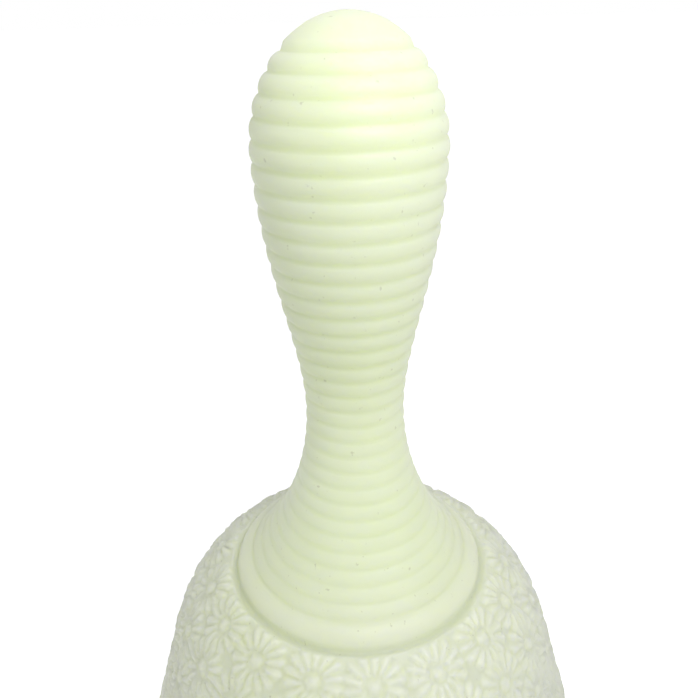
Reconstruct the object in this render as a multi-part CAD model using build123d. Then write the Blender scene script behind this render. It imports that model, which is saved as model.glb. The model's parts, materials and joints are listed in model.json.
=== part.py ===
from build123d import *
from math import cos, pi, radians, sin
import os

# A hand bell of satin glass. One pressed glass piece makes the ribbed bulb handle, the ribbed shoulder and
# the flared skirt. A wire eye is cemented into the crown of the cavity, and a chain of oval links hangs the
# clapper from it: a faceted glass bead that turns on an eye pin between two small cups.
# Millimetres, +Z up, origin at the centre of the plane that the rim stands on.

# ---- Glass: handle ----
overall_height = 160.0      # rim to the top of the handle
bulb_radius = 14.5          # widest part of the handle, in the valley between two ribs
bulb_height = 142.0         # height of that widest part
neck_radius = 8.7           # thinnest part of the handle, in a valley
neck_height = 99.0          # height of that thinnest part
bulb_hold = 17.5            # how long the bulb keeps its width before it tapers
neck_hold = 12.5            # how long the neck keeps its width above its thinnest place
cap_angle = 50.0            # degrees of latitude on the bulb where the smooth cap ends and the ribs start
rib_pitch = 3.05            # along the outline, from valley to valley
rib_crown = 0.5             # how far the first rib stands out of its valleys
flare_rib_crown = 0.3       # the same at the end of the shoulder, where the ribs are shallower

# ---- Glass: shoulder and skirt ----
collar_radius = 25.6        # outer edge of the ribbed shoulder
collar_height = 61.6        # height of that edge
collar_width = 4.6          # the wide last ring, along the outline
collar_crown = 0.8
groove_width = 1.5          # the channel round the collar
groove_depth = 0.9
shoulder_radius = 38.1      # where the crown turns down into the skirt
shoulder_height = 49.8
waist_radius = 45.5
waist_height = 28.9
rim_radius = 54.6           # outside of the skirt where the lip begins
lip_height = 2.4            # height of that place above the table
wall = 4.0                  # thickness of the skirt
lip_bulge = 0.5             # how far the lip rounds out past the skirt
rest_width = 1.2            # flat ring that the bell stands on
rim_ribs = 3                # rings pressed round the foot of the skirt

# ---- Clapper hanger ----
socket_radius = 3.6         # blind hole in the crown of the cavity
socket_depth = 8.0
wire = 1.1                  # diameter of the eye, link and pin wire
wire_gap = 0.12             # clearance between two wires that hang in each other
eye_inner_width = 2.6       # between the two legs of the cemented eye
eye_drop = 5.6              # from the crown of the cavity to the middle of the eye's lowest wire
eye_leg = 5.0               # length of the legs inside the cement
eye_foot = 0.9              # outward bend at the end of each leg

# ---- Chain ----
link_count = 5
link_inner_width = 1.9
link_inner_length = 4.9

# ---- Clapper ----
pin_ring_inner = 2.9        # inside diameter of the ring at the top of the eye pin
pin_neck = 1.2              # bare wire between the ring and the upper cup
bead_radius = 8.4           # across the corners of the bead's middle
bead_table_radius = 3.6     # its flat top and bottom
bead_height = 15.6
bead_sides = 12
bead_bore_gap = 0.08        # running clearance of the bead on the pin
cup_radius = 3.9
cup_thickness = 0.7
cup_gap = 0.15              # end play between the bead and a cup
head_radius = 1.5           # peened head under the lower cup
head_height = 0.8

wire_r = wire / 2
bead_crown_radius = 0.78 * bead_radius      # shoulder of the facets, between table and middle
bead_crown_height = 0.27 * bead_height


def turn(face):
    """Turns an outline drawn in radius and height round the bell's axis."""
    return revolve(Plane.XZ * face, axis=Axis.Z)


def left_of(edge, at):
    """The unit vector to the left of an outline's direction of travel, which points out of the glass."""
    along = edge.tangent_at(at)
    return Vector(-along.Y, along.X, 0)


def crest(edge, start, end, height):
    """One rounded rib standing on an outline between two places along it."""
    middle = (start + end) / 2
    top = edge.position_at(middle) + left_of(edge, middle) * height
    return ThreePointArc(edge.position_at(start), top, edge.position_at(end))


def rib_row(edge, start, end, count, first_height, last_height):
    """Ribs of one pitch side by side along an outline, with crowns that change evenly along it."""
    step = (end - start) / count
    change = (last_height - first_height) / count
    ribs = []
    for i in range(count):
        valley = start + i * step
        ribs.append(crest(edge, valley, valley + step, first_height + i * change))
    return ribs


# The outlines below run from the top of the handle down and outwards, with the glass on their right.
cap_radius = bulb_radius + rib_crown
cap_rise = overall_height - bulb_height


def ellipse_point(across, up, angle):
    return Vector(across * cos(radians(angle)), bulb_height + up * sin(radians(angle)), 0)


def ellipse_arc(across, up, from_angle, to_angle):
    """Part of the bulb's upper outline, as a cubic that matches the ellipse."""
    reach = 4 / 3 * (1 - cos(radians(from_angle - to_angle) / 2)) / sin(radians(from_angle - to_angle) / 2)
    first, last = ellipse_point(across, up, from_angle), ellipse_point(across, up, to_angle)
    leave = Vector(across * sin(radians(from_angle)), -up * cos(radians(from_angle)), 0)
    arrive = Vector(across * sin(radians(to_angle)), -up * cos(radians(to_angle)), 0)
    return Bezier(first, first + leave * reach, last - arrive * reach, last)


def handle_outline():
    """Valley line of the ribs, from the smooth cap over the bulb and down the neck to the collar."""
    bulb_top = ellipse_arc(bulb_radius, cap_rise - rib_crown, cap_angle, 0)
    widest = Vector(bulb_radius, bulb_height, 0)
    thinnest = Vector(neck_radius, neck_height, 0)
    taper = Bezier(widest, widest - Vector(0, bulb_hold, 0), thinnest + Vector(0, neck_hold, 0), thinnest)
    edge = Vector(collar_radius, collar_height, 0)
    drop = neck_height - collar_height
    spread = collar_radius - neck_radius
    flare = Bezier(thinnest, thinnest - Vector(0, 0.4 * drop, 0),
                   edge + Vector(-0.57 * spread, 0.2 * drop, 0), edge)
    return Wire([bulb_top, taper, flare])


def skirt_outline():
    """Outside of the skirt without its relief, from the groove round the collar to the lip."""
    start = Vector(collar_radius + groove_width, collar_height - 0.55 * groove_width, 0)
    return Spline(start, Vector(shoulder_radius, shoulder_height, 0), Vector(waist_radius, waist_height, 0),
                  Vector(rim_radius, lip_height, 0), tangents=[(0.86, -0.5), (0.4, -0.92)])


handle_line = handle_outline()
skirt_line = skirt_outline()
collar_start = 1 - collar_width / handle_line.length
rib_count = round(collar_start * handle_line.length / rib_pitch)
rim_band = rim_ribs * rib_pitch / skirt_line.length
cavity_height = collar_height + 2.2         # crown of the cavity, just above the collar's edge


def inner_wall():
    """Inside of the skirt, one wall thickness in from its outside, rising to the crown of the cavity."""
    stations = (1.0, 0.8, 0.55, 0.3, 0.0)
    inside = [skirt_line.position_at(at) - left_of(skirt_line, at) * wall for at in stations]
    crown = Vector(0, cavity_height, 0)
    return Spline(*inside, crown, tangents=[-skirt_line.tangent_at(1.0), (-1, 0)])


def lip(inside_foot):
    """The rounded foot of the skirt, with the flat ring that it stands on."""
    outside = skirt_line.position_at(1.0)
    middle = (outside.X + inside_foot.X) / 2
    rest_out = Vector(middle + rest_width / 2, 0, 0)
    rest_in = Vector(middle - rest_width / 2, 0, 0)
    outer_bulge = Vector((outside.X + rest_out.X) / 2 + lip_bulge, 0.3 * lip_height, 0)
    inner_bulge = Vector((inside_foot.X + rest_in.X) / 2 - lip_bulge / 2, 0.35 * lip_height, 0)
    out_arc = ThreePointArc(outside, outer_bulge, rest_out)
    in_arc = ThreePointArc(rest_in, inner_bulge, inside_foot)
    return [out_arc, Line(rest_out, rest_in), in_arc]


def glass_bell():
    """The one piece of glass: handle, shoulder and skirt, with the cavity and its blind hole."""
    cap_end = ellipse_point(cap_radius, cap_rise, cap_angle + 4)
    first_valley = handle_line.position_at(0)
    over = Vector(sin(radians(cap_angle + 4)), -cos(radians(cap_angle + 4)), 0)
    cap = [ellipse_arc(cap_radius, cap_rise, 90, cap_angle + 4),
           Bezier(cap_end, cap_end + over * rib_crown, first_valley)]
    handle = rib_row(handle_line, 0, collar_start, rib_count, rib_crown, flare_rib_crown)
    collar = crest(handle_line, collar_start, 1, collar_crown)
    collar_foot = handle_line.position_at(1)
    skirt_start = skirt_line.position_at(0)
    groove_floor = (collar_foot + skirt_start) / 2 - left_of(skirt_line, 0) * groove_depth
    groove = ThreePointArc(collar_foot, groove_floor, skirt_start)
    field = skirt_line.trim(0, 1 - rim_band)
    foot = rib_row(skirt_line, 1 - rim_band, 1, rim_ribs, rib_crown, rib_crown)
    inside = inner_wall()
    crown = inside.position_at(1)
    axis_line = Line(crown, Vector(0, overall_height, 0))
    outline = [*cap, *handle, collar, groove, field, *foot, *lip(inside.position_at(0)), inside, axis_line]
    glass = turn(make_face(Wire(outline)))
    socket = Pos(0, 0, cavity_height - 1) * Cylinder(socket_radius, socket_depth + 1,
                                                     align=(Align.CENTER, Align.CENTER, Align.MIN))
    return glass - socket


eye_half = (eye_inner_width + wire) / 2
eye_low = cavity_height - eye_drop          # middle of the eye's lowest wire


def hanger_eye():
    """A wire hairpin in the XZ plane: its bend hangs below the crown, its feet are held in the cement."""
    top = cavity_height + eye_leg
    bend = eye_low + eye_half
    path = Wire([
        Line((-eye_half - eye_foot, 0, top + eye_foot), (-eye_half, 0, top)),
        Line((-eye_half, 0, top), (-eye_half, 0, bend)),
        ThreePointArc((-eye_half, 0, bend), (0, 0, eye_low), (eye_half, 0, bend)),
        Line((eye_half, 0, bend), (eye_half, 0, top)),
        Line((eye_half, 0, top), (eye_half + eye_foot, 0, top + eye_foot)),
    ])
    start = Plane(path.position_at(0), z_dir=path.tangent_at(0))
    return sweep(start * Circle(wire_r), path=path, transition=Transition.ROUND)


def anchor_cement(eye):
    """The plug of cement that fills the blind hole round the eye's legs."""
    plug = Pos(0, 0, cavity_height) * Cylinder(socket_radius, socket_depth,
                                               align=(Align.CENTER, Align.CENTER, Align.MIN))
    return plug - eye


link_half = (link_inner_width + wire) / 2           # centreline half width
link_reach = link_inner_length + wire               # centreline length, bend to bend
link_step = link_inner_length - wire_gap            # how far each link hangs below the one before


def link_low(number):
    """Height of the middle of a link's lowest wire, links counted from 1 at the top."""
    return eye_low + wire + wire_gap - link_reach - (number - 1) * link_step


def chain_link(number):
    """One oval link. Odd links lie in the YZ plane, even ones in the XZ plane, each through the last."""
    low = link_low(number)
    high = low + link_reach
    side = (lambda a, z: (0, a, z)) if number % 2 else (lambda a, z: (a, 0, z))
    path = Wire([
        Line(side(link_half, low + link_half), side(link_half, high - link_half)),
        ThreePointArc(side(link_half, high - link_half), side(0, high), side(-link_half, high - link_half)),
        Line(side(-link_half, high - link_half), side(-link_half, low + link_half)),
        ThreePointArc(side(-link_half, low + link_half), side(0, low), side(link_half, low + link_half)),
    ])
    start = Plane(path.position_at(0), z_dir=path.tangent_at(0))
    return sweep(start * Circle(wire_r), path=path)


# Heights of the clapper, from the last link down.
ring_radius = (pin_ring_inner + wire) / 2
ring_height = link_low(link_count) + wire + wire_gap - ring_radius
upper_cup_top = ring_height - ring_radius - wire_r - pin_neck
bead_top = upper_cup_top - cup_thickness - cup_gap
bead_middle = bead_top - bead_height / 2
bead_bottom = bead_top - bead_height
lower_cup_bottom = bead_bottom - cup_gap - cup_thickness
head_bottom = lower_cup_bottom - head_height


def clapper_pin():
    """Ring, straight shank through the bead, and the peened head that carries it."""
    turned = Rotation(0, 90, 0) if link_count % 2 == 0 else Rotation(90, 0, 0)
    ring = Pos(0, 0, ring_height) * turned * Torus(ring_radius, wire_r)
    shank_top = ring_height - ring_radius
    shank = Pos(0, 0, lower_cup_bottom) * Cylinder(wire_r, shank_top - lower_cup_bottom,
                                                   align=(Align.CENTER, Align.CENTER, Align.MIN))
    head = Pos(0, 0, head_bottom) * Cylinder(head_radius, head_height,
                                             align=(Align.CENTER, Align.CENTER, Align.MIN))
    head = fillet(head.edges().group_by(Axis.Z)[0], 0.4 * head_height)
    return ring + shank + head


def bead_cup(outer_height, opens):
    """A small dished cup on the pin, its rim turned towards the bead."""
    disc = Cylinder(cup_radius, cup_thickness, align=(Align.CENTER, Align.CENTER, Align.MIN))
    disc = chamfer(disc.edges().group_by(Axis.Z)[-1], 0.6 * cup_thickness)
    disc -= Cylinder(wire_r, 3 * cup_thickness)
    base = Pos(0, 0, outer_height - cup_thickness) if opens < 0 else Pos(0, 0, outer_height + cup_thickness)
    return base * disc if opens < 0 else base * Rotation(180, 0, 0) * disc


def clapper_bead():
    """A faceted bead: flat facets lofted through five polygons, with a bore for the pin."""
    levels = [(0, bead_table_radius), (bead_crown_height, bead_crown_radius), (bead_height / 2, bead_radius),
              (bead_height - bead_crown_height, bead_crown_radius), (bead_height, bead_table_radius)]
    rings = [Pos(0, 0, bead_bottom + z) * RegularPolygon(r, bead_sides) for z, r in levels]
    solid = loft(rings, ruled=True)
    bore = Pos(0, 0, bead_middle) * Cylinder(wire_r + bead_bore_gap, bead_height * 1.5)
    return solid - bore


def main():
    os.makedirs("parts", exist_ok=True)
    eye = hanger_eye()
    parts = {
        "glass_bell": glass_bell(),
        "anchor_cement": anchor_cement(eye),
        "hanger_eye": eye,
        "clapper_pin": clapper_pin(),
        "clapper_upper_cup": bead_cup(upper_cup_top, -1),
        "clapper_lower_cup": bead_cup(lower_cup_bottom, 1),
        "clapper_bead": clapper_bead(),
    }
    for number in range(1, link_count + 1):
        parts[f"chain_link_{number}"] = chain_link(number)
    for name, shape in parts.items():
        export_step(shape, f"parts/{name}.step")
    print("ribs on the handle", rib_count, "bead middle", round(bead_middle, 2), "eye", round(eye_low, 2),
          "lowest", round(head_bottom, 2), "last link", round(link_low(link_count), 2))


main()
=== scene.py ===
# %% [markdown]
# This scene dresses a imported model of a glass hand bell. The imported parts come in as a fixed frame, in
# metres, and every new piece goes where the frame says. The bell is one pressing of satin glass, so it
# becomes one new mesh with ribs and pressed daisies in its real surface. The chain, the eye, the cement
# and the clapper already have their true shapes in the frame, so they stay and only get their finishes.

# %% Load the frame
import json
import math

import bpy
import numpy as np
from mathutils import Matrix, Vector


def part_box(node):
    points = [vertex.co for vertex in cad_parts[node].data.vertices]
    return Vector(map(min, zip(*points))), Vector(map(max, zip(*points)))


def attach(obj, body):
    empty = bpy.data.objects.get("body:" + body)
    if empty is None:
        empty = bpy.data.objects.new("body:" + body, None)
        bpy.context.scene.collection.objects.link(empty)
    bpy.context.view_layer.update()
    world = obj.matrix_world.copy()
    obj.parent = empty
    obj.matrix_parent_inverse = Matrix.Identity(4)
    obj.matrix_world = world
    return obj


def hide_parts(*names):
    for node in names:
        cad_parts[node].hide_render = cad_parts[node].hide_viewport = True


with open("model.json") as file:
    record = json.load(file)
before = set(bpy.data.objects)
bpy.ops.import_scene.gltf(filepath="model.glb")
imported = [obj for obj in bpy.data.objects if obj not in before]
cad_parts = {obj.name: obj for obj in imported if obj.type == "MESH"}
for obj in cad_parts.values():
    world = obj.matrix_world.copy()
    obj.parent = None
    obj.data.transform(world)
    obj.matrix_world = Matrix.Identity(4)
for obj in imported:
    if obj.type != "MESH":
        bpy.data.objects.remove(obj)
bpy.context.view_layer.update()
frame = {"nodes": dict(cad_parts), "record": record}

glass_low, glass_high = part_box("glass_bell")
drawing_height = 160.0
unit = (glass_high[2] - glass_low[2]) / drawing_height
print("one drawing millimetre is", round(unit, 6), "m; nodes:", len(frame["nodes"]))

# %% [markdown]
# A turned shape needs only half an outline. It could be modelled as a stack of cylinders, but a hand
# bell has no straight stretch, so the outline is drawn once as soft curves in millimetres and then
# spun. These helpers walk along a curve by distance, because ribs are equally spaced along the surface
# and not in height.

# %% Helpers for the outline


def bezier(start, leave, arrive, end, count=200):
    t = np.linspace(0, 1, count)[:, None]
    start, leave, arrive, end = (np.array(p, float) for p in (start, leave, arrive, end))
    return (1 - t) ** 3 * start + 3 * t * (1 - t) ** 2 * leave + 3 * t * t * (1 - t) * arrive + t ** 3 * end


def through(points, first_way, last_way, count=120):
    """A smooth line through points that leaves and arrives in the given directions."""
    points = [np.array(p, float) for p in points]
    ways = [np.array(first_way, float) * np.linalg.norm(points[1] - points[0])]
    ways += [(after - before) / 2 for before, after in zip(points, points[2:])]
    ways += [np.array(last_way, float) * np.linalg.norm(points[-1] - points[-2])]
    spans = zip(points, points[1:], ways, ways[1:])
    runs = [bezier(a, a + m / 3, b - n / 3, b, count) for a, b, m, n in spans]
    return np.vstack([run[:-1] for run in runs] + [runs[-1][-1:]])


class Line:
    """A drawn curve that gives places and outward directions by distance from its start."""

    def __init__(self, points):
        self.points = points
        self.at = np.concatenate([[0], np.cumsum(np.linalg.norm(np.diff(points, axis=0), axis=1))])
        self.length = self.at[-1]

    def place(self, distance):
        return np.array([np.interp(distance, self.at, self.points[:, axis]) for axis in (0, 1)])

    def outward(self, distance):
        along = self.place(min(distance + 0.05, self.length)) - self.place(max(distance - 0.05, 0))
        along /= np.linalg.norm(along)
        return np.array([-along[1], along[0]])


def rib(line, start, end, crown, steps):
    """One rounded rib between two distances along a line, without its last point."""
    raised = []
    for t in np.arange(steps) / steps:
        distance = start + (end - start) * t
        raised.append(line.place(distance) + line.outward(distance) * crown * (4 * t * (1 - t)) ** 0.8)
    return raised


# %% [markdown]
# The handle is a bulb on a thin neck that opens into the shoulder like a trumpet. Its ribs are narrow
# rounded rings with sharp valleys, as pressed glass leaves a mould. They run from the smooth cap to a
# wider last ring, the collar, and a channel goes round the collar.

# %% Draw the handle
bulb_radius, bulb_height = 14.5, 142.0
neck_radius, neck_height = 8.7, 99.0
bulb_hold, neck_hold = 17.5, 12.5
cap_angle = math.radians(50)
rib_pitch, rib_crown, flare_rib_crown = 3.05, 0.5, 0.3
collar_radius, collar_height, collar_width, collar_crown = 25.6, 61.6, 4.6, 0.8
groove_width, groove_depth = 1.5, 0.9

cap_rise = drawing_height - bulb_height
turns = np.linspace(cap_angle, 0, 80)
bulb_top = np.stack([bulb_radius * np.cos(turns), bulb_height + (cap_rise - rib_crown) * np.sin(turns)], 1)
taper = bezier((bulb_radius, bulb_height), (bulb_radius, bulb_height - bulb_hold),
               (neck_radius, neck_height + neck_hold), (neck_radius, neck_height))
drop, widening = neck_height - collar_height, collar_radius - neck_radius
flare = bezier((neck_radius, neck_height), (neck_radius, neck_height - 0.4 * drop),
               (collar_radius - 0.57 * widening, collar_height + 0.2 * drop), (collar_radius, collar_height))
handle_line = Line(np.vstack([bulb_top, taper[1:], flare[1:]]))

ribbed = handle_line.length - collar_width
rib_count = round(ribbed / rib_pitch)
rib_step = ribbed / rib_count
cap_turns = np.linspace(math.pi / 2, cap_angle + math.radians(4), 16)
cap_radius = bulb_radius + rib_crown
handle_outline = [np.array([cap_radius * math.cos(a), bulb_height + cap_rise * math.sin(a)])
                  for a in cap_turns]
handle_outline[0][0] = 0
for number in range(rib_count):
    crown = rib_crown + (flare_rib_crown - rib_crown) * number / rib_count
    handle_outline += rib(handle_line, number * rib_step, (number + 1) * rib_step, crown, 6)
handle_outline += rib(handle_line, ribbed, handle_line.length, collar_crown, 9)
collar_foot = handle_line.place(handle_line.length)
print("ribs", rib_count, "handle outline points", len(handle_outline))

# %% [markdown]
# The skirt goes over a round shoulder and flares to the rim. Its outside carries the flowers, so its
# outline is drawn with a point about every half millimetre there. Three more rings go round its foot,
# the lip is rounded, and the bell stands on a narrow flat ring. The inside follows the outside one wall
# thickness in and ends in a small blind hole that holds the cement.

# %% Draw the skirt
wall = 4.0
rim_radius, lip_height, lip_bulge, rest_width, foot_ribs = 54.6, 2.4, 0.5, 1.2, 3
cavity_height, socket_radius, socket_depth = collar_height + 2.2, 3.6, 8.0

skirt_start = np.array([collar_radius + groove_width, collar_height - 0.55 * groove_width])
shoulder, waist, foot = (38.1, 49.8), (45.5, 28.9), (rim_radius, lip_height)
skirt_line = Line(through([skirt_start, shoulder, waist, foot], (0.86, -0.5), (0.4, -0.92)))
field_length = skirt_line.length - foot_ribs * rib_pitch
groove_floor = (collar_foot + skirt_start) / 2 - skirt_line.outward(0) * groove_depth * 2
groove = bezier(collar_foot, collar_foot * 0.4 + groove_floor * 0.6,
                skirt_start * 0.4 + groove_floor * 0.6, skirt_start, 9)
handle_outline += list(groove[:6])

row_count = 112
skirt_outline = list(groove[6:-1])
skirt_outline += [skirt_line.place(d) for d in np.linspace(0, field_length, row_count)[:-1]]
for number in range(foot_ribs):
    begin = field_length + number * rib_pitch
    skirt_outline += rib(skirt_line, begin, begin + rib_pitch, rib_crown, 5)
outside_foot = skirt_line.place(skirt_line.length)
inside_foot = outside_foot - skirt_line.outward(skirt_line.length) * wall
rest_middle = (outside_foot[0] + inside_foot[0]) / 2
rest_out = np.array([rest_middle + rest_width / 2, 0])
rest_in = np.array([rest_middle - rest_width / 2, 0])
lip_out = np.array([(outside_foot[0] + rest_out[0]) / 2 + lip_bulge * 2, 0.1 * lip_height])
skirt_outline += list(bezier(outside_foot, (outside_foot + lip_out) / 2, lip_out, rest_out, 7))

lip_in = np.array([(inside_foot[0] + rest_in[0]) / 2 - lip_bulge, 0.1 * lip_height])
stations = np.linspace(1, 0, 6) * skirt_line.length
inner_places = [skirt_line.place(d) - skirt_line.outward(d) * wall for d in stations]
inner_wall = Line(through([*inner_places, (0, cavity_height)], (-0.4, 0.92), (-1, 0)))
inside_outline = list(bezier(rest_in, lip_in, (inside_foot + lip_in) / 2, inside_foot, 6))[:-1]
inside_outline += [p for p in (inner_wall.place(d) for d in np.linspace(0, inner_wall.length, 44))
                   if p[0] > socket_radius + 0.4]
for share in (0, 0.5, 1):
    inside_outline.append(np.array([socket_radius, cavity_height + share * socket_depth]))
inside_outline.append(np.array([0, cavity_height + socket_depth]))
print("skirt outline points", len(skirt_outline), "inside", len(inside_outline))

# %% [markdown]
# A spin copies an outline round an axis, like a lathe. The flowers need many steps round the skirt and
# the handle does not, so the bell is spun as three bands, with four times as many steps on the skirt,
# and the open rings between the bands are joined afterwards by bridging.

# %% Spin the three bands
coarse_steps = 120
fine_steps = 4 * coarse_steps


def deselect_all():
    if bpy.context.mode != "OBJECT":
        bpy.ops.object.mode_set(mode="OBJECT")
    bpy.ops.object.select_all(action="DESELECT")


def spin_band(name, outline, steps):
    """A closed-round band spun from an outline in drawing millimetres."""
    deselect_all()
    mesh = bpy.data.meshes.new(name)
    places = [(point[0] * unit, 0, point[1] * unit) for point in outline]
    mesh.from_pydata(places, [(i, i + 1) for i in range(len(places) - 1)], [])
    band = bpy.data.objects.new(name, mesh)
    bpy.context.collection.objects.link(band)
    bpy.context.view_layer.objects.active = band
    band.select_set(True)
    bpy.ops.object.mode_set(mode="EDIT")
    bpy.ops.mesh.select_all(action="SELECT")
    bpy.ops.mesh.spin(steps=steps, angle=2 * math.pi, center=(0, 0, 0), axis=(0, 0, 1))
    bpy.ops.mesh.select_all(action="SELECT")
    bpy.ops.mesh.remove_doubles(threshold=unit * 0.004)
    bpy.ops.object.mode_set(mode="OBJECT")
    print(name, "faces", len(mesh.polygons))
    return band


handle_band = spin_band("handle_band", handle_outline, coarse_steps)
skirt_band = spin_band("skirt_band", skirt_outline, fine_steps)
inside_band = spin_band("inside_band", inside_outline, coarse_steps)

# %% Join the bands into one piece of glass


def ring_edges(mesh, ends):
    """Edges that lie wholly on one of the given rings, each a radius and a height in millimetres."""
    flat = np.empty(len(mesh.vertices) * 3)
    mesh.vertices.foreach_get("co", flat)
    places = flat.reshape(-1, 3) / unit
    radius = np.hypot(places[:, 0], places[:, 1])
    marks = np.zeros(len(places), int)
    for number, (r, z) in enumerate(ends, 1):
        marks[(abs(radius - r) < 0.02) & (abs(places[:, 2] - z) < 0.02)] = number
    pairs = np.empty(len(mesh.edges) * 2, int)
    mesh.edges.foreach_get("vertices", pairs)
    pairs = pairs.reshape(-1, 2)
    return (marks[pairs[:, 0]] > 0) & (marks[pairs[:, 0]] == marks[pairs[:, 1]])


deselect_all()
for band in (skirt_band, inside_band, handle_band):
    band.select_set(True)
bpy.context.view_layer.objects.active = handle_band
bpy.ops.object.join()
bell = handle_band
bell.name = "bell_glass"
for ends in ((handle_outline[-1], skirt_outline[0]), (skirt_outline[-1], inside_outline[0])):
    bpy.ops.object.mode_set(mode="EDIT")
    bpy.ops.mesh.select_mode(type="EDGE")
    bpy.ops.mesh.select_all(action="DESELECT")
    bpy.ops.object.mode_set(mode="OBJECT")
    bell.data.edges.foreach_set("select", ring_edges(bell.data, ends))
    bpy.ops.object.mode_set(mode="EDIT")
    bpy.ops.mesh.bridge_edge_loops()
bpy.ops.mesh.select_all(action="SELECT")
bpy.ops.mesh.normals_make_consistent(inside=False)
bpy.ops.mesh.select_all(action="DESELECT")
bpy.ops.mesh.select_mode(type="VERT")
bpy.ops.mesh.select_non_manifold()
bpy.ops.object.mode_set(mode="OBJECT")
open_points = sum(v.select for v in bell.data.vertices)
print("glass faces", len(bell.data.polygons), "open points", open_points)

# %% [markdown]
# The skirt is pressed all over with daisies. Each could be its own small mesh laid on the glass, but
# the real ones are one skin with it, with soft valleys between the petals. So each point of the skirt
# is pushed out along the outline's own direction, by the height of the flower it lies on: narrow
# rounded petals, blunt tips, and a domed centre.

# %% Press the daisies
flower_radius, petal_count, petal_height = 6.15, 14, 0.95
centre_radius, centre_height = 1.5, 0.85
chance = np.random.default_rng(7)


def daisy(across, along, turned):
    """Height of one flower at places measured from its centre, in millimetres."""
    reach = np.hypot(across, along)
    ridge = abs(np.cos(petal_count * (np.arctan2(along, across) + turned) / 2))
    tip = flower_radius * (0.88 + 0.12 * ridge)
    inside = np.clip((tip - reach) / 1.1, 0, 1) ** 0.6
    rise = np.clip((reach - 0.7 * centre_radius) / 1.4, 0, 1)
    uneven = 0.88 + 0.12 * np.cos(3 * np.arctan2(along, across) + 5 * turned)
    petals = petal_height * ridge ** 0.75 * inside * rise * uneven
    dome = centre_height * np.sqrt(np.clip(1 - (reach / centre_radius) ** 2, 0, 1))
    return np.maximum(petals, dome)


flat = np.empty(len(bell.data.vertices) * 3)
bell.data.vertices.foreach_get("co", flat)
points = flat.reshape(-1, 3) / unit
radii = np.hypot(points[:, 0], points[:, 1])
angles = np.arctan2(points[:, 1], points[:, 0])
falling = skirt_line.points[::-1]
along_skirt = np.interp(points[:, 2], falling[:, 1], skirt_line.at[::-1])
skirt_radii = np.interp(points[:, 2], falling[:, 1], falling[:, 0])
in_field = (abs(radii - skirt_radii) < 0.03) & (along_skirt > 0.01) & (along_skirt < field_length - 0.3)
raised = np.zeros(len(points))
flower_rows = 6
row_step = (field_length - 2 * flower_radius * 0.86) / (flower_rows - 1)
flowers = 0
for row in range(flower_rows):
    row_at = flower_radius * 0.86 + row * row_step
    row_radius = skirt_line.place(row_at)[0]
    in_row = round(2 * math.pi * row_radius / (1.86 * flower_radius))
    for number in range(in_row):
        middle = 2 * math.pi * (number + 0.5 * (row % 2) + 0.06 * chance.uniform(-1, 1)) / in_row
        middle_at = row_at + 0.35 * chance.uniform(-1, 1)
        turned = chance.uniform(0, 2 * math.pi)
        away = (angles - middle + math.pi) % (2 * math.pi) - math.pi
        near_round = abs(away) * radii < 1.1 * flower_radius
        near = in_field & near_round & (abs(along_skirt - middle_at) < 1.1 * flower_radius)
        heights = daisy(away[near] * radii[near], along_skirt[near] - middle_at, turned)
        raised[near] = np.maximum(raised[near], heights)
        flowers += 1
edge_fade = np.clip(along_skirt / 0.4, 0, 1) * np.clip((field_length - along_skirt) / 0.8, 0, 1)
raised *= edge_fade
ahead = np.array([skirt_line.outward(d) for d in np.linspace(0, skirt_line.length, 400)])
steps_at = np.linspace(0, skirt_line.length, 400)
out_r = np.interp(along_skirt, steps_at, ahead[:, 0])
out_z = np.interp(along_skirt, steps_at, ahead[:, 1])
points[:, 0] += raised * out_r * np.cos(angles)
points[:, 1] += raised * out_r * np.sin(angles)
points[:, 2] += raised * out_z
bell.data.vertices.foreach_set("co", (points * unit).ravel())
bell.data.update()
deselect_all()
bell.select_set(True)
bpy.context.view_layer.objects.active = bell
bpy.ops.object.shade_smooth()
print("flowers", flowers, "raised points", int((raised > 0).sum()), "of", int(in_field.sum()))

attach(bell, "bell")
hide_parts("glass_bell")

# %% [markdown]
# Finishes are built from nodes that read Object coordinates, so they keep their scale and need no
# unwrapping. A small helper adds a node and sets its sockets, and another drives the roughness and the
# bump from two sizes of noise.

# %% Helpers for finishes


def rgb(red, green, blue):
    """A colour written as 0 to 255 screen values, for a linear socket."""
    return tuple(((c / 255 + 0.055) / 1.055) ** 2.4 for c in (red, green, blue)) + (1.0,)


def add(tree, kind, **sockets):
    node = tree.nodes.new(kind)
    for name, value in sockets.items():
        node.inputs[name.replace("_", " ")].default_value = value
    return node


def finish(name, **sockets):
    """A new material with its main shader set, and the object coordinates it will read."""
    material = bpy.data.materials.new(name)
    material.use_nodes = True
    tree = material.node_tree
    shader = tree.nodes["Principled BSDF"]
    for socket, value in sockets.items():
        shader.inputs[socket.replace("_", " ")].default_value = value
    where = tree.nodes.new("ShaderNodeTexCoord").outputs["Object"]
    return material, tree, shader, where


def noise(tree, where, size, detail=4.0):
    """Noise whose patches are about size millimetres across."""
    node = add(tree, "ShaderNodeTexNoise", Scale=0.5 / (size * unit), Detail=detail)
    tree.links.new(where, node.inputs["Vector"])
    return node.outputs["Fac"]


def spread(tree, value, low, high):
    """Noise stretched to run between two values."""
    node = add(tree, "ShaderNodeMapRange", From_Min=0.3, From_Max=0.7, To_Min=low, To_Max=high)
    tree.links.new(value, node.inputs["Value"])
    return node.outputs["Result"]


def blend_colours(tree, factor, first, second):
    node = tree.nodes.new("ShaderNodeMix")
    node.data_type = "RGBA"
    colour_in = [s for s in node.inputs if s.type == "RGBA"]
    colour_in[0].default_value = first
    colour_in[1].default_value = second
    tree.links.new(factor, node.inputs["Factor"])
    return [s for s in node.outputs if s.type == "RGBA"][0]


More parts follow.
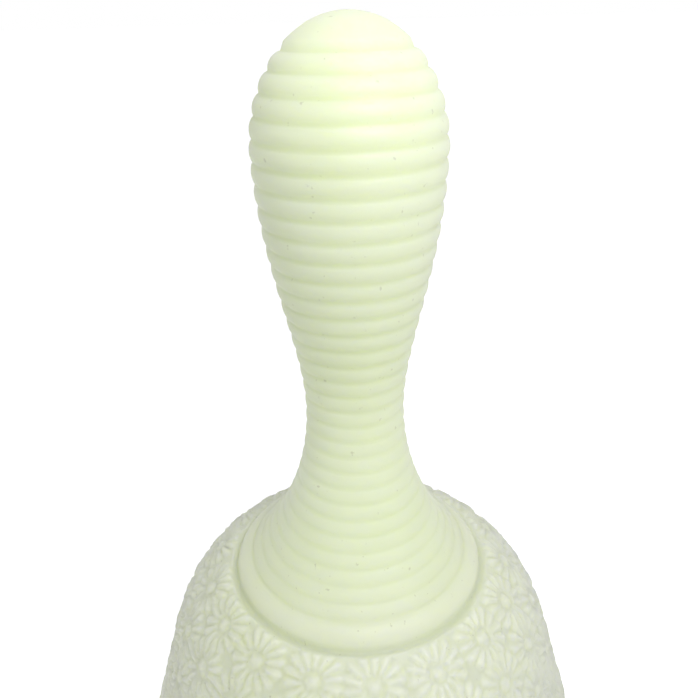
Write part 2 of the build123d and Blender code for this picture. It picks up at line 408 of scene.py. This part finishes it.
def bumpy(tree, shader, value, depth, strength):
    node = add(tree, "ShaderNodeBump", Distance=depth * unit, Strength=strength)
    tree.links.new(value, node.inputs["Height"])
    tree.links.new(node.outputs["Normal"], shader.inputs["Normal"])
    return node


def wear(piece, material):
    piece.data.materials.clear()
    piece.data.materials.append(material)


# %% [markdown]
# Satin custard glass is pale, cloudy and slightly green. Light goes a few millimetres into it, so the
# shader scatters light under the surface. Its skin is etched, which spreads every highlight into a soft
# sheen, and the etching is never quite even, so the roughness drifts and a very fine grain breaks up
# the gloss.

# %% Satin glass
satin, tree, shader, where = finish("satin_custard_glass", Roughness=0.5, IOR=1.5, Subsurface_Weight=1.0,
                                    Subsurface_Scale=9 * unit)
shader.inputs["Subsurface Radius"].default_value = (1.0, 1.0, 0.6)
cloud = noise(tree, where, 16, 3)
colour = blend_colours(tree, spread(tree, cloud, 0, 1), rgb(234, 242, 214), rgb(228, 237, 201))
dust = add(tree, "ShaderNodeMapRange", From_Min=0.70, From_Max=0.76, To_Max=0.55)
tree.links.new(noise(tree, where, 0.55, 2), dust.inputs["Value"])
dusted = blend_colours(tree, dust.outputs["Result"], rgb(234, 242, 214), rgb(196, 200, 170))
tree.links.new(colour, [s for s in dusted.node.inputs if s.type == "RGBA"][0])
tree.links.new(dusted, shader.inputs["Base Color"])
tree.links.new(spread(tree, noise(tree, where, 5), 0.42, 0.56), shader.inputs["Roughness"])
bumpy(tree, shader, noise(tree, where, 0.22, 2), 0.03, 0.35)
wear(bell, satin)

# %% [markdown]
# The chain, eye and pin are drawn brass wire that has dulled a little. A metal needs a coloured
# reflection and a roughness that changes from place to place, and fingers and rubbing leave darker
# patches and tiny scratches.

# %% Brass


def brass(name, bright, dull, rough_low, rough_high):
    material, tree, shader, where = finish(name, Metallic=1.0, Roughness=0.3)
    patches = noise(tree, where, 2.2, 5)
    tarnish = blend_colours(tree, spread(tree, patches, 0, 1), bright, dull)
    tree.links.new(tarnish, shader.inputs["Base Color"])
    tree.links.new(spread(tree, noise(tree, where, 0.8), rough_low, rough_high), shader.inputs["Roughness"])
    bumpy(tree, shader, noise(tree, where, 0.15, 3), 0.02, 0.4)
    return material


finishes = {
    "brass_chain": brass("aged_brass_chain", rgb(222, 190, 122), rgb(168, 132, 74), 0.22, 0.42),
    "brass_wire": brass("drawn_brass_wire", rgb(218, 184, 112), rgb(176, 140, 82), 0.2, 0.36),
    "brass_cup": brass("stamped_brass_cup", rgb(226, 196, 130), rgb(182, 148, 88), 0.16, 0.34),
}

# %% [markdown]
# The plug is a white gypsum cement, matt and full of tiny pits. The bead is clear cut glass with a hint
# of green, and polished facets, with faint wear where they have struck the skirt.

# %% Cement and cut glass
cement, tree, shader, where = finish("white_cement", Roughness=0.9, Specular_IOR_Level=0.3)
mottled = blend_colours(tree, spread(tree, noise(tree, where, 1.5), 0, 1),
                        rgb(228, 224, 210), rgb(205, 199, 182))
tree.links.new(mottled, shader.inputs["Base Color"])
bumpy(tree, shader, noise(tree, where, 0.4, 6), 0.15, 0.8)
finishes["cement"] = cement

cut, tree, shader, where = finish("cut_clear_glass", Transmission_Weight=0.9, IOR=1.5, Roughness=0.05)
mottled = blend_colours(tree, spread(tree, noise(tree, where, 6), 0, 1),
                        rgb(238, 246, 226), rgb(226, 240, 212))
tree.links.new(mottled, shader.inputs["Base Color"])
tree.links.new(spread(tree, noise(tree, where, 1.2), 0.02, 0.12), shader.inputs["Roughness"])
bumpy(tree, shader, noise(tree, where, 0.5, 2), 0.01, 0.2)
finishes["bead_glass"] = cut

for entry in frame["record"]["subparts"]:
    if entry["node"] != "glass_bell":
        wear(frame["nodes"][entry["node"]], finishes[entry["material_slot"]])
print("finishes", sorted(finishes))

# %% [markdown]
# The bell stands on a plain white sheet. The sheet is pale diffuse paper that also glows a little for
# the camera and for reflections only, which makes it read as white without adding light to the glass,
# and it keeps the shadow. Its back is clear, so that the inside of the bell can be looked at from
# below.

# %% Floor
deselect_all()
bpy.ops.mesh.primitive_plane_add(size=1, location=(0, 0, 0))
floor = bpy.context.object
floor.name = "floor_sheet"
bpy.ops.object.mode_set(mode="EDIT")
bpy.ops.mesh.select_all(action="SELECT")
bpy.ops.transform.resize(value=(40, 40, 1))
bpy.ops.mesh.subdivide(number_cuts=3)
bpy.ops.object.mode_set(mode="OBJECT")


def seen_directly(tree):
    """One for camera, glossy and transmission rays, nothing for light that bounces."""
    path = tree.nodes.new("ShaderNodeLightPath")
    total = path.outputs["Is Camera Ray"]
    for name in ("Is Glossy Ray", "Is Transmission Ray"):
        node = tree.nodes.new("ShaderNodeMath")
        node.operation = "MAXIMUM"
        tree.links.new(total, node.inputs[0])
        tree.links.new(path.outputs[name], node.inputs[1])
        total = node.outputs[0]
    return total


paper, tree, shader, where = finish("white_sheet", Roughness=0.9, Specular_IOR_Level=0.2)
shader.inputs["Base Color"].default_value = rgb(238, 238, 238)
shader.inputs["Emission Color"].default_value = (1, 1, 1, 1)
glow = tree.nodes.new("ShaderNodeMath")
glow.operation = "MULTIPLY"
glow.inputs[1].default_value = 0.62
tree.links.new(seen_directly(tree), glow.inputs[0])
tree.links.new(glow.outputs[0], shader.inputs["Emission Strength"])
bumpy(tree, shader, noise(tree, where, 3), 0.02, 0.1)
underside = tree.nodes.new("ShaderNodeNewGeometry").outputs["Backfacing"]
clear = tree.nodes.new("ShaderNodeBsdfTransparent")
either = tree.nodes.new("ShaderNodeMixShader")
tree.links.new(underside, either.inputs["Fac"])
tree.links.new(shader.outputs["BSDF"], either.inputs[1])
tree.links.new(clear.outputs["BSDF"], either.inputs[2])
tree.links.new(either.outputs["Shader"], tree.nodes["Material Output"].inputs["Surface"])
wear(floor, paper)

# %% [markdown]
# The light is a plain studio: a white room all round, a broad key lamp high on the right, and a weak
# wide lamp on the left so that the dark side keeps its shape.

# %% Lamps, room and camera
room = bpy.data.worlds.new("room")
bpy.context.scene.world = room
room.use_nodes = True
tree = room.node_tree
backdrop = tree.nodes["Background"]
backdrop.inputs["Color"].default_value = (1, 1, 1, 1)
room_level = add(tree, "ShaderNodeMapRange", To_Min=0.53, To_Max=1.0)
tree.links.new(seen_directly(tree), room_level.inputs["Value"])
tree.links.new(room_level.outputs["Result"], backdrop.inputs["Strength"])


def lamp(name, place, aim, size, watts):
    light = bpy.data.lights.new(name, "AREA")
    light.size = size
    light.energy = watts
    thing = bpy.data.objects.new(name, light)
    bpy.context.collection.objects.link(thing)
    thing.location = place
    thing.rotation_euler = (Vector(aim) - Vector(place)).to_track_quat("-Z", "Y").to_euler()
    return thing


middle = Vector((0, 0, 0.5 * glass_high[2]))
lamp("key", (0.075, -0.14, 0.29), (0, 0, glass_high[2] * 0.85), 0.12, 0.34)
lamp("left_fill", (-0.40, -0.20, 0.20), middle, 0.35, 0.10)

camera_data = bpy.data.cameras.new("camera")
camera_data.lens = 33.6
camera_data.sensor_width = 36
camera_data.shift_y = 0.109
camera_data.clip_start = 0.005
camera = bpy.data.objects.new("camera", camera_data)
bpy.context.collection.objects.link(camera)
camera.location = (0, -104.4 * unit, glass_high[2] - 0.65 * unit)
pitch, yaw, roll = math.radians(32.2), math.radians(0.66), math.radians(1.6)
camera.matrix_world = (Matrix.Translation(camera.location) @ Matrix.Rotation(yaw, 4, "Z")
                       @ Matrix.Rotation(math.pi / 2 - pitch, 4, "X") @ Matrix.Rotation(-roll, 4, "Z"))
bpy.context.scene.camera = camera
bpy.context.scene.view_settings.view_transform = "Standard"
